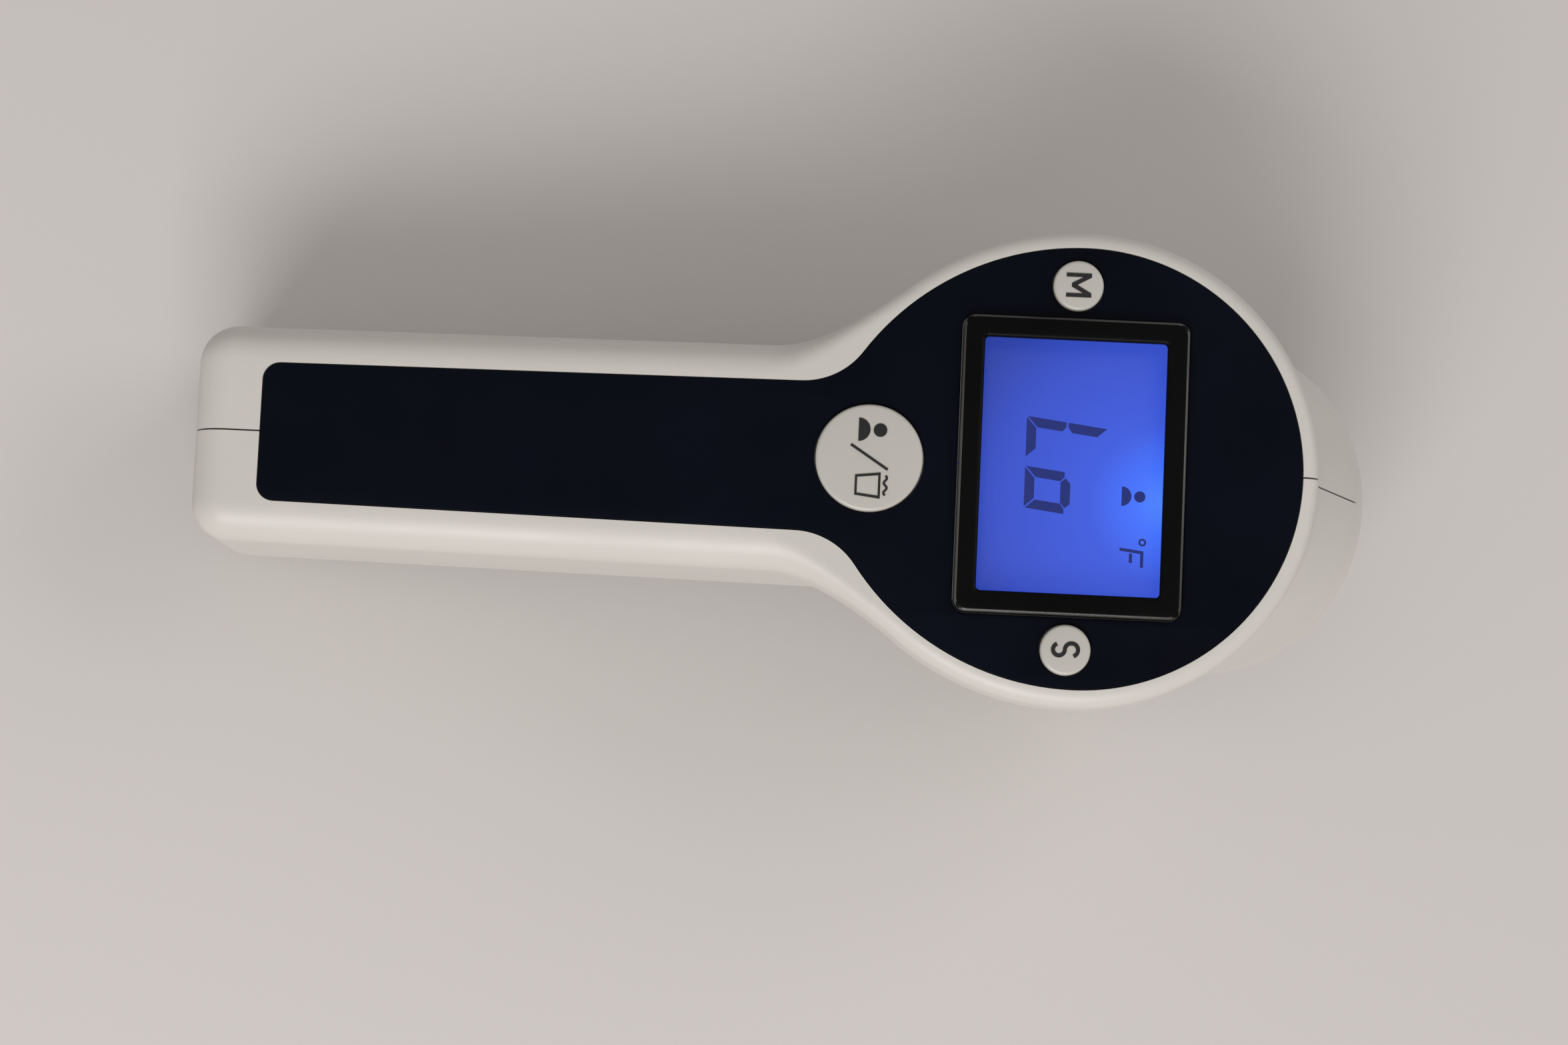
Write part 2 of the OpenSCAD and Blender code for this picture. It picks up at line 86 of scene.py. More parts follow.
# Nozzle
LEAN = math.radians(30)
ROOT_Z = -4.0
NOSE_LEN = 38 / math.cos(LEAN)
RING_LEN = 4.0
MOUTH_R = 24.0
BARREL_END = NOSE_LEN - RING_LEN - 0.1
BARREL_START = 14.0
BARREL_ROOT_R = 26.5
BARREL_END_R = 24.3

# Display
BEZEL_L, BEZEL_W = 30.1, 39.7
BEZEL_TOP = 1.32
BEZEL_LOW = 0.02 - POCKET_D
VIEW_L, VIEW_W = 24.3, 33.5
GLASS_TOP = -2.1

# Battery cover and housing screws (x, z)
COVER_LEN = 62.0
COVER_W = 17.2
TONGUE_W = 18.8
COVER_LIFT = 0.3
SCREWS = [(20, -8), (66, -20), (HEAD_X + 22.6, -7.5), (HANDLE_END - 3.1, -24)]
SCREW_SEAT = 5.0
WELL_R = 2.55
POST_R = 3.1

# Buttons: height of the cap's edge, rise of its dome, flange and underside
MODE_EDGE, MODE_CROWN = 0.66, 0.12
SIDE_EDGE, SIDE_CROWN = 0.76, 0.14
FLANGE = 0.9
FLANGE_TOP = -2.15
CAP_LOW = -3.2

# Trigger
TRIGGER_X0, TRIGGER_X1 = 77.5, 94.5
TRIGGER_HALF_W = 6.0
TRIGGER_FRONT = -HANDLE_D - 5.0
TRIGGER_LOW, TRIGGER_TOP = -27.7, -26.6
SCOOP_R = 14.0
SCOOP_DEPTH = 2.0
SWITCH_POST = (84.0, 2.2, -18.0)
SPRING_PIN = (90.2, 1.2, -23.4)

# Sensor end of the nozzle, along its axis
CONE_TOP = NOSE_LEN - 1
CONE_LOW = CONE_TOP - 20.5
CAN_LOW = CONE_LOW - 5.2
FILTER_LOW = CONE_LOW - 1.58

joints = {j["name"]: j for j in frame["joints"]}
TILT = math.asin(joints["mode_press"]["axis"][0])


def device_matrix():
    """Device millimetres to row metres, from the middle of the display frame."""
    low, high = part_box("lcd_bezel")
    turn = Matrix.Rotation(-TILT, 4, "Y")
    middle = Vector((DISPLAY_X, 0, (BEZEL_TOP + BEZEL_LOW) / 2)) * MM
    return Matrix.Translation((low + high) / 2 - turn @ middle) @ turn @ Matrix.Scale(MM, 4)


PLACE = device_matrix()
NOZZLE = (Matrix.Translation((HEAD_X, 0, ROOT_Z)) @ Matrix.Rotation(math.pi - LEAN, 4, "Y"))


# ---------------------------------------------------------------- meshes
def add(name, verts, faces, body="case", node=None, mats=(), smooth=35, local=None):
    """A piece from device coordinates; local is a matrix applied before PLACE."""
    mesh = bpy.data.meshes.new(name)
    mesh.from_pydata([tuple(v) for v in verts], [], faces)
    mesh.transform(PLACE @ local if local else PLACE)
    return finish_piece(mesh, name, body, node, mats, smooth)


def finish_piece(mesh, name, body, node, mats, smooth):
    bm = bmesh.new()
    bm.from_mesh(mesh)
    bmesh.ops.remove_doubles(bm, verts=bm.verts, dist=1e-7)
    bmesh.ops.recalc_face_normals(bm, faces=bm.faces)
    bm.to_mesh(mesh)
    bm.free()
    obj = bpy.data.objects.new(name, mesh)
    bpy.context.scene.collection.objects.link(obj)
    for m in mats:
        mesh.materials.append(m)
    shade(mesh, smooth)
    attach(obj, body)
    if node:
        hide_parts(*([node] if isinstance(node, str) else node))
    return obj


def trim_to_ground(mesh, height=0.0):
    """Trims a mesh flat, parallel to the ground at a height in millimetres."""
    bm = bmesh.new()
    bm.from_mesh(mesh)
    geom = bm.verts[:] + bm.edges[:] + bm.faces[:]
    bmesh.ops.bisect_plane(bm, geom=geom, dist=1e-7, plane_co=(0, 0, height * MM),
                           plane_no=(0, 0, -1), clear_outer=True)
    bmesh.ops.triangle_fill(bm, use_beauty=True, edges=[e for e in bm.edges if e.is_boundary])
    bm.to_mesh(mesh)
    bm.free()


def shade(mesh, angle):
    mesh.polygons.foreach_set("use_smooth", [True] * len(mesh.polygons))
    mesh.set_sharp_from_angle(angle=math.radians(angle))


def arc(cx, cy, r, a0, a1, n):
    steps = [math.radians(a0 + (a1 - a0) * i / n) for i in range(n + 1)]
    return [(cx + r * math.cos(a), cy + r * math.sin(a)) for a in steps]


def circle(cx, cy, r, n=64):
    return arc(cx, cy, r, 0, 360, n)[:-1]


def rounded_rect(l, w, r, n=6):
    pts = []
    for sx, sy, a in ((1, 1, 0), (-1, 1, 90), (-1, -1, 180), (1, -1, 270)):
        pts += arc(sx * (l / 2 - r), sy * (w / 2 - r), r, a, a + 90, n)
    return pts


def lathe(profile, n=96):
    """Verts and faces of a closed profile of (radius, height) turned about z."""
    verts, faces, rings = [], [], []
    for r, h in profile:
        if r < 1e-6:
            rings.append([len(verts)])
            verts.append((0, 0, h))
            continue
        rings.append(list(range(len(verts), len(verts) + n)))
        turns = [math.tau * i / n for i in range(n)]
        verts += [(r * math.cos(a), r * math.sin(a), h) for a in turns]
    pairs = list(zip(rings, rings[1:]))
    if len(rings[0]) > 1 and len(rings[-1]) > 1:
        pairs.append((rings[-1], rings[0]))
    for a, b in pairs:
        for i in range(n):
            j = (i + 1) % n
            if len(a) == 1:
                faces.append((a[0], b[i], b[j]))
            elif len(b) == 1:
                faces.append((a[i], a[j], b[0]))
            else:
                faces.append((a[i], a[j], b[j], b[i]))
    return verts, faces


def joined(parts):
    """Several (verts, faces) meshes as one."""
    verts, faces = [], []
    for v, f in parts:
        faces += [tuple(i + len(verts) for i in face) for face in f]
        verts += list(v)
    return verts, faces


def loft(loops, closed=True):
    """Skins equal loops; closed joins the last loop to the first, else the ends are capped."""
    n = len(loops[0])
    verts = [p for loop in loops for p in loop]
    faces = []
    last = len(loops) if closed else len(loops) - 1
    for k in range(last):
        a, b = k * n, ((k + 1) % len(loops)) * n
        faces += [(a + i, a + (i + 1) % n, b + (i + 1) % n, b + i) for i in range(n)]
    if not closed:
        faces.append(tuple(reversed(range(n))))
        faces.append(tuple(range(len(verts) - n, len(verts))))
    return verts, faces


def plate(name, outlines, z0, z1, bevel=0.0, res=2, **facts):
    """A flat plate from closed outlines; later outlines inside the first are holes."""
    curve = bpy.data.curves.new(name, "CURVE")
    curve.dimensions = "2D"
    curve.fill_mode = "BOTH"
    curve.extrude = (z1 - z0) / 2 - bevel
    curve.bevel_depth = bevel
    curve.bevel_resolution = res
    curve.offset = -bevel
    for pts in outlines:
        spline = curve.splines.new("POLY")
        spline.points.add(len(pts) - 1)
        for p, q in zip(spline.points, pts):
            p.co = (q[0], q[1], 0, 1)
        spline.use_cyclic_u = True
    holder = bpy.data.objects.new(name + "_curve", curve)
    bpy.context.scene.collection.objects.link(holder)
    depsgraph = bpy.context.evaluated_depsgraph_get()
    mesh = bpy.data.meshes.new_from_object(holder.evaluated_get(depsgraph))
    bpy.data.objects.remove(holder)
    mesh.name = name
    mesh.materials.clear()
    mesh.transform(PLACE @ Matrix.Translation((0, 0, (z0 + z1) / 2)))
    return finish_piece(mesh, name, facts.get("body", "case"), facts.get("node"),
                        facts.get("mats", ()), facts.get("smooth", 35))


# ---------------------------------------------------------------- body as a distance field
def smoothstep(a, b, x):
    t = np.clip((x - a) / (b - a), 0, 1)
    return t * t * (3 - 2 * t)


def smooth_min(a, b, k):
    h = np.clip(0.5 + 0.5 * (b - a) / k, 0, 1)
    return b * (1 - h) + a * h - k * h * (1 - h)


def round_and(a, b, r):
    return np.minimum(-r, np.maximum(a, b)) + np.hypot(np.maximum(a + r, 0), np.maximum(b + r, 0))


def round_or(a, b, r):
    return np.maximum(r, np.minimum(a, b)) - np.hypot(np.maximum(r - a, 0), np.maximum(r - b, 0))


def plan_distance(x, y, taper):
    """Distance to the paddle-shaped outline, seen on the face."""
    dx, side = x - HEAD_X, np.abs(y)
    head = np.where(dx >= 0, np.hypot(dx, side) - HEAD_R,
                    np.hypot(dx, side + BODY_FLARE_R - HEAD_R) - BODY_FLARE_R) + taper
    half = BUTT_H + (NECK_H - BUTT_H) * x / HANDLE_END
    handle = np.maximum(round_and(side - half, -x, BUTT_R), x - HANDLE_END - 8)
    return round_or(head, handle, BODY_FILLET)


def outer_distance(x, y, z):
    deep = np.maximum(0, -z - 8)
    plan = plan_distance(x, y, 0.46 * deep * deep / (deep + 6))
    top_r = HANDLE_TOP_R + (RIM_TOP_R - HANDLE_TOP_R) * smoothstep(76, 92, x)
    body = round_and(round_and(plan, z, top_r), -z - HANDLE_D, LOW_R)
    along = (x - HEAD_X) * math.sin(LEAN) - (z - ROOT_Z) * math.cos(LEAN)
    across = np.hypot((x - HEAD_X) * math.cos(LEAN) + (z - ROOT_Z) * math.sin(LEAN), y)
    slope = (BARREL_END_R - BARREL_ROOT_R) / (BARREL_END - BARREL_START)
    barrel = across - BARREL_ROOT_R - slope * (along - BARREL_START)
    barrel = np.maximum(round_and(barrel, BARREL_START - 2 - along, 3), along - BARREL_END - 4)
    blend = 5 - 3.2 * smoothstep(HEAD_X - 6, HEAD_X + 16, x)
    return np.maximum(smooth_min(body, barrel, blend), z)


def shell_distance(x, y, z):
    d = outer_distance(x, y, z)
    return np.maximum(d, -(d + WALL))


def surface_nets(field, low, high, step):
    """Quad mesh of field = 0 on a regular grid, with its points moved onto the surface."""
    axes = [np.arange(a, b + step, step) for a, b in zip(low, high)]
    grid = np.meshgrid(*axes, indexing="ij")
    f = field(*grid)
    inside = f < 0
    size = [n - 1 for n in f.shape]

    def corner(values, i, j, k):
        return values[i:i + size[0], j:j + size[1], k:k + size[2]]

    corners = [(i, j, k) for i in (0, 1) for j in (0, 1) for k in (0, 1)]
    count = sum(corner(inside, *c).astype(np.int8) for c in corners)
    active = (count > 0) & (count < 8)
    index = -np.ones(active.shape, np.int64)
    index[active] = np.arange(active.sum())
    cells = np.argwhere(active)
    total, hits = np.zeros((len(cells), 3)), np.zeros(len(cells))
    for c in corners:
        for axis in range(3):
            if c[axis]:
                continue
            far = tuple(v + (n == axis) for n, v in enumerate(c))
            fa, fb = corner(f, *c)[active], corner(f, *far)[active]
            cross = (fa < 0) != (fb < 0)
            t = np.where(cross, fa / np.where(cross, fa - fb, 1), 0)
            point = np.array(c, float) + np.outer(t, np.eye(3)[axis])
            total += point * cross[:, None]
            hits += cross
    verts = np.array(low) + (cells + total / hits[:, None]) * step
    faces = []
    for axis in range(3):
        u, v = [n for n in range(3) if n != axis]
        a = np.moveaxis(inside, (axis, u, v), (0, 1, 2))
        change = a[:-1, 1:-1, 1:-1] != a[1:, 1:-1, 1:-1]
        ids = np.moveaxis(index, (axis, u, v), (0, 1, 2))
        quad = [ids[:, :-1, :-1], ids[:, 1:, :-1], ids[:, 1:, 1:], ids[:, :-1, 1:]]
        quad = np.stack([q[change] for q in quad], 1)
        flip = a[1:, 1:-1, 1:-1][change] ^ (axis == 1)
        quad[flip] = quad[flip][:, ::-1]
        faces.append(quad)
    for _ in range(3):
        verts = onto_surface(field, verts, step)
    return verts, np.concatenate(faces)


def onto_surface(field, verts, step):
    eps = 0.03
    d = field(*verts.T)
    grad = np.stack([(field(*(verts + eps * e).T) - field(*(verts - eps * e).T)) / (2 * eps)
                     for e in np.eye(3)], 1)
    move = -d[:, None] * grad / np.maximum((grad * grad).sum(1), 0.2)[:, None]
    return verts + np.clip(move, -step / 3, step / 3)


def cut_flat(bm, point, normal):
    """Removes what lies beyond a plane and closes the cut."""
    geom = bm.verts[:] + bm.edges[:] + bm.faces[:]
    bmesh.ops.bisect_plane(bm, geom=geom, dist=1e-5, plane_co=point, plane_no=normal,
                           clear_outer=True)
    rim = [e for e in bm.edges if e.is_boundary]
    bmesh.ops.triangle_fill(bm, use_beauty=True, edges=rim)


def half_shell():
    step = 0.85
    verts, quads = surface_nets(shell_distance, (-1.7, -1.7, -56), (166, 34, 1.7), step)
    mesh = bpy.data.meshes.new("half_shell")
    mesh.from_pydata(verts.tolist(), [], quads.tolist())
    bm = bmesh.new()
    bm.from_mesh(mesh)
    out = Vector((math.sin(LEAN), 0, -math.cos(LEAN)))
    cut_flat(bm, Vector((HEAD_X, 0, ROOT_Z)) + out * BARREL_END, out)
    cut_flat(bm, Vector((0, SEAM / 2, 0)), Vector((0, -1, 0)))
    bmesh.ops.recalc_face_normals(bm, faces=bm.faces)
    bmesh.ops.triangulate(bm, faces=bm.faces)
    bm.to_mesh(mesh)
    bm.free()
    return mesh


def tool(verts, faces, local=None):
    """A hidden cutter in device coordinates."""
    mesh = bpy.data.meshes.new("cutter")
    mesh.from_pydata([tuple(v) for v in verts], [], faces)
    if local:
        mesh.transform(local)
    bm = bmesh.new()
    bm.from_mesh(mesh)
    bmesh.ops.recalc_face_normals(bm, faces=bm.faces)
    bmesh.ops.triangulate(bm, faces=bm.faces)
    bm.to_mesh(mesh)
    bm.free()
    obj = bpy.data.objects.new("cutter", mesh)
    bpy.context.scene.collection.objects.link(obj)
    return obj


def box_tool(low, high):
    verts, faces = loft([[(x, y, z) for x, y in ((low[0], low[1]), (high[0], low[1]),
                                                (high[0], high[1]), (low[0], high[1]))]
                         for z in (low[2], high[2])], closed=False)
    return tool(verts, faces)


def outline_tool(outline, z0, z1):
    return tool(*loft([[(x, y, z) for x, y in outline] for z in (z0, z1)], closed=False))


def carve(mesh, tools, operation="DIFFERENCE"):
    """The mesh with every tool cut out of it."""
    obj = bpy.data.objects.new("carved", mesh)
    bpy.context.scene.collection.objects.link(obj)
    for t in tools:
        cut = obj.modifiers.new("cut", "BOOLEAN")
        cut.operation = operation
        cut.solver = "MANIFOLD"
        cut.object = t
    made = bpy.data.meshes.new_from_object(obj.evaluated_get(bpy.context.evaluated_depsgraph_get()))
    bpy.data.objects.remove(obj)
    return made


# ---------------------------------------------------------------- materials
def material(name, color, rough, metallic=0.0, coat=0.0, coat_rough=0.1, ior=1.5, specular=0.5,
             grain=0.0, grain_size=900.0, mottle=0.0, rough_mottle=0.0, transmission=0.0,
             subsurface=0.0):
    """A principled material with fine surface grain and soft unevenness in colour and gloss."""
    mat = bpy.data.materials.new(name)
    mat.use_nodes = True
    nodes, links = mat.node_tree.nodes, mat.node_tree.links
    bsdf = nodes["Principled BSDF"]
    bsdf.inputs["Base Color"].default_value = (*color, 1)
    bsdf.inputs["Roughness"].default_value = rough
    bsdf.inputs["Metallic"].default_value = metallic
    bsdf.inputs["Coat Weight"].default_value = coat
    bsdf.inputs["Coat Roughness"].default_value = coat_rough
    bsdf.inputs["IOR"].default_value = ior
    bsdf.inputs["Specular IOR Level"].default_value = specular
    bsdf.inputs["Transmission Weight"].default_value = transmission
    bsdf.inputs["Subsurface Weight"].default_value = subsurface
    bsdf.inputs["Subsurface Radius"].default_value = (0.002, 0.0015, 0.001)
    coords = nodes.new("ShaderNodeTexCoord")
    if grain:
        fine = noise(nodes, links, coords, grain_size, 3)
        bump = nodes.new("ShaderNodeBump")
        bump.inputs["Strength"].default_value = grain
        bump.inputs["Distance"].default_value = 0.0002
        links.new(fine, bump.inputs["Height"])
        links.new(bump.outputs["Normal"], bsdf.inputs["Normal"])
    if mottle:
        tint = span(nodes, links, noise(nodes, links, coords, 45, 4), 1 - mottle, 1 + mottle)
        mix = nodes.new("ShaderNodeVectorMath")
        mix.operation = "SCALE"
        mix.inputs[0].default_value = color
        links.new(tint, mix.inputs["Scale"])
        links.new(mix.outputs[0], bsdf.inputs["Base Color"])
    if rough_mottle:
        patch = noise(nodes, links, coords, 70, 5)
        links.new(span(nodes, links, patch, rough - rough_mottle, rough + rough_mottle),
                  bsdf.inputs["Roughness"])
    return mat


def noise(nodes, links, coords, scale, detail):
    tex = nodes.new("ShaderNodeTexNoise")
    tex.inputs["Scale"].default_value = scale
    tex.inputs["Detail"].default_value = detail
    links.new(coords.outputs["Object"], tex.inputs["Vector"])
    return tex.outputs["Fac"]


def span(nodes, links, value, low, high):
    """Maps the middle of a noise, 0.3 to 0.7, to low to high."""
    ramp = nodes.new("ShaderNodeMapRange")
    ramp.inputs["From Min"].default_value = 0.3
    ramp.inputs["From Max"].default_value = 0.7
    ramp.inputs["To Min"].default_value = low
    ramp.inputs["To Max"].default_value = high
    links.new(value, ramp.inputs["Value"])
    return ramp.outputs["Result"]


def glass(name, color, rough, alpha):
    mat = material(name, color, rough, specular=0.5)
    mat.node_tree.nodes["Principled BSDF"].inputs["Alpha"].default_value = alpha
    return mat


def glowing(name, color, glow):
    mat = material(name, color, 0.4)
    bsdf = mat.node_tree.nodes["Principled BSDF"]
    bsdf.inputs["Emission Color"].default_value = (*glow, 1)
    bsdf.inputs["Emission Strength"].default_value = 1
    return mat


def lit_display():
    """Blue backlit cell, brighter beside its lamp at the middle of the head side."""
    mat = material("lcd_backlit", (0.01, 0.02, 0.12), 0.3)
    nodes, links = mat.node_tree.nodes, mat.node_tree.links
    bsdf = nodes["Principled BSDF"]
    coords = nodes.new("ShaderNodeTexCoord")
    lamp = PLACE @ Vector((DISPLAY_X + VIEW_L / 2 + 1.0, -4.0, GLASS_TOP))
    away = nodes.new("ShaderNodeVectorMath")
    away.operation = "DISTANCE"
    away.inputs[1].default_value = lamp
    links.new(coords.outputs["Object"], away.inputs[0])
    ramp = nodes.new("ShaderNodeValToRGB")
    stops = [(0.0, (0.085, 0.26, 1.0)), (0.16, (0.055, 0.17, 1.0)), (0.36, (0.045, 0.10, 0.70)),
             (0.75, (0.035, 0.075, 0.55)), (1.0, (0.024, 0.05, 0.36))]
    ramp.color_ramp.elements[0].position = stops[0][0]
    ramp.color_ramp.elements[0].color = (*stops[0][1], 1)
    ramp.color_ramp.elements[1].position = stops[-1][0]
    ramp.color_ramp.elements[1].color = (*stops[-1][1], 1)
    for position, color in stops[1:-1]:
        ramp.color_ramp.elements.new(position).color = (*color, 1)
    scaled = nodes.new("ShaderNodeMath")
    scaled.operation = "MULTIPLY"
    scaled.inputs[1].default_value = 1 / (30 * MM)
    links.new(away.outputs["Value"], scaled.inputs[0])
    links.new(scaled.outputs[0], ramp.inputs["Fac"])
    links.new(ramp.outputs["Color"], bsdf.inputs["Emission Color"])
    bsdf.inputs["Emission Strength"].default_value = 1.0
    return mat


M = {
    "shell": material("shell_white", (0.565, 0.555, 0.52), 0.42, grain=0.05, grain_size=2600,
                      mottle=0.018, rough_mottle=0.05, specular=0.4, subsurface=0.04),
    "cover": material("cover_white", (0.55, 0.54, 0.505), 0.44, grain=0.07, grain_size=2600,
                      mottle=0.02, rough_mottle=0.05, subsurface=0.04),
    "panel": material("panel_navy", (0.0016, 0.0026, 0.0072), 0.34, grain=0.03, grain_size=3000,
                      mottle=0.25, rough_mottle=0.07, specular=0.07),
    "bezel": material("bezel_black", (0.0018, 0.0018, 0.0018), 0.36, specular=0.08,
                      grain=0.10, grain_size=2200, mottle=0.3, rough_mottle=0.08),
    # Lighter colour for the display frame's slanted outer edge: a painted highlight along the edge,
    # together with wear.
    "edge_highlight_and_wear": material("bezel_edge_highlight_and_wear", (0.045, 0.046, 0.043), 0.45, grain=0.35, grain_size=1500,
                     mottle=0.75, rough_mottle=0.1),
    "button": material("button_white", (0.485, 0.475, 0.44), 0.33, grain=0.05, grain_size=2400,
                       mottle=0.015, rough_mottle=0.04, coat=0.15, coat_rough=0.25, subsurface=0.04),
    "ink": material("print_black", (0.005, 0.005, 0.006), 0.5),
    "segment": glowing("segment_dark_blue", (0.002, 0.004, 0.02), (0.008, 0.02, 0.17)),
    "window": glass("window_clear", (0.0, 0.0, 0.0), 0.06, 0.05),
    "trigger": material("trigger_slate", (0.035, 0.043, 0.07), 0.4, grain=0.25, grain_size=1500,
                        mottle=0.05, rough_mottle=0.05),
    "ring": material("ring_white", (0.57, 0.555, 0.52), 0.42, grain=0.12, grain_size=2000,
                     mottle=0.03, rough_mottle=0.05),
    "cone": material("cone_black", (0.012, 0.012, 0.013), 0.22, rough_mottle=0.05),
    "can": material("sensor_can_nickel", (0.62, 0.61, 0.58), 0.24, metallic=1, rough_mottle=0.06),
    "filter": material("sensor_filter", (0.02, 0.022, 0.035), 0.08, coat=0.5, ior=1.9),
    "board": material("board_green", (0.012, 0.10, 0.035), 0.35, coat=0.3, mottle=0.08),
    "chip": material("chip_black", (0.015, 0.015, 0.016), 0.5, grain=0.1, grain_size=1500),
    "steel": material("steel_zinc", (0.56, 0.56, 0.55), 0.32, metallic=1, rough_mottle=0.08),
    "brass": material("collar_brass", (0.66, 0.50, 0.24), 0.3, metallic=1, rough_mottle=0.06),
    "nylon": material("stem_nylon", (0.60, 0.22, 0.03), 0.45, mottle=0.03),
    "rubber": material("zebra_rubber", (0.45, 0.16, 0.22), 0.6, mottle=0.06),
    "guide": material("guide_frosted", (0.80, 0.85, 0.92), 0.3, subsurface=0.2),
    "holder": material("holder_white", (0.62, 0.62, 0.60), 0.42, mottle=0.02),
    "tray": material("tray_black", (0.03, 0.03, 0.032), 0.45, grain=0.15, grain_size=1500),
    "sleeve": material("cell_sleeve_grey", (0.13, 0.15, 0.18), 0.28, coat=0.4, mottle=0.04),
    "lead_red": material("lead_red", (0.45, 0.02, 0.012), 0.4, mottle=0.05),
    "lead_black": material("lead_black", (0.012, 0.012, 0.012), 0.4, mottle=0.05),
    "lead_white": material("lead_white", (0.62, 0.62, 0.58), 0.4, mottle=0.04),
    "lcd": lit_display(),
}


# ---------------------------------------------------------------- housing
def panel_outline(gap):
    """Outline of the dark face panel, drawn as the pocket it sits in, less a gap."""
    r, flare = HEAD_R - HEAD_RIM - gap, 36.0
    neck_h, butt_h, fillet, corner = 10.05 - gap, 9.3 - gap, 10.0 + gap, 2.3
    end = 9.0 + gap
    rise = neck_h + fillet - (r - flare)
    back = math.sqrt((flare + fillet) ** 2 - rise * rise)
    turn = math.degrees(math.atan2(rise, -back))
    half = arc(HEAD_X, 0, r, 0, 90, 48)
    half += arc(HEAD_X, r - flare, flare, 90, turn, 24)[1:]
    half += arc(HEAD_X - back, neck_h + fillet, fillet, turn + 180, 270, 16)
    half += arc(end + corner, butt_h - corner, corner, 90, 180, 10)
    return half + [(x, -y) for x, y in reversed(half)][:-1]


def rounded_box_tool(x0, x1, half_w, z0, z1, r):
    outline = [(x + (x0 + x1) / 2, y) for x, y in rounded_rect(x1 - x0, 2 * half_w, r, 5)]
    return outline_tool(outline, z0, z1)


def housing_tools(side):
    """Cutters for the face openings, the cover's track, the trigger's slot and the screw wells."""
    tools = [
        outline_tool(panel_outline(0), -POCKET_D, 3),
        rounded_box_tool(DISPLAY_X - VIEW_L / 2 - 1.3, DISPLAY_X + VIEW_L / 2 + 1.3,
                         VIEW_W / 2 + 1.3, -4, -0.5, 1),
        tool(*lathe([(0, -4), (MODE_R + 0.2, -4), (MODE_R + 0.2, 0), (0, 0)], 64),
             Matrix.Translation((MODE_X, 0, 0))),
        tool(*lathe([(0, -4), (SIDE_R + 0.2, -4), (SIDE_R + 0.2, 0), (0, 0)], 48),
             Matrix.Translation((DISPLAY_X, side * SIDE_Y, 0))),
        rounded_box_tool(-3, COVER_LEN + 0.3, COVER_W / 2 + 0.2, -35, -25, 0.8),
        rounded_box_tool(TRIGGER_X0 - 0.3, TRIGGER_X1 + 0.3, TRIGGER_HALF_W + 0.3, -40, -24, 1.2),
        box_tool((-3, -TONGUE_W / 2 - 0.2, -HANDLE_D + 0.95),
                 (COVER_LEN + 0.3, TONGUE_W / 2 + 0.2, -25.5)),
    ]
    if side > 0:
        for x, z in SCREWS:
            turn = Matrix.Translation((x, 0, z)) @ Matrix.Rotation(-math.pi / 2, 4, "X")
            tools.append(tool(*lathe([(0, SCREW_SEAT + 2), (WELL_R, SCREW_SEAT + 2), (WELL_R, 40),
                                      (0, 40)], 40), turn))
    return tools


def housings():
    """The two halves of the case, cut from one shell and its mirror image."""
    half = half_shell()
    for side, name, node in ((1, "left_shell", "left_housing"),
                             (-1, "right_shell", "right_housing")):
        mesh = half.copy()
        if side < 0:
            mesh.transform(Matrix.Scale(-1, 4, (0, 1, 0)))
            mesh.flip_normals()
        tools = housing_tools(side)
        made = carve(mesh, tools)
        for t in tools:
            bpy.data.objects.remove(t)
        made.transform(PLACE)
        made.materials.clear()
        trim_to_ground(made)
        finish_piece(made, name, "case", node, (M["shell"],), 32)


def screw_wells():
    """Tubes from the screw seats out to just under the skin of the left half."""
    tubes = []
    for x, z in SCREWS:
        rings = []
        for r, depth in ((1.5, SCREW_SEAT - 3), (POST_R, SCREW_SEAT - 3), (POST_R, None),
                         (WELL_R, None), (WELL_R, SCREW_SEAT), (1.5, SCREW_SEAT)):
            ring = [(x + px, z + pz) for px, pz in circle(0, 0, r, 40)]
            rings.append([(px, depth or skin_y(px, pz) - 0.35, pz) for px, pz in ring])
        tubes.append(loft(rings))
    verts, faces = joined(tubes)
    add("screw_wells", verts, faces, mats=(M["shell"],))


def skin_y(x, z):
    """How far to the left the outer skin lies at a place in x and z."""
    y = np.linspace(5, 34, 800)
    return float(y[np.argmax(outer_distance(np.full(800, x), y, np.full(800, z)) > 0)])


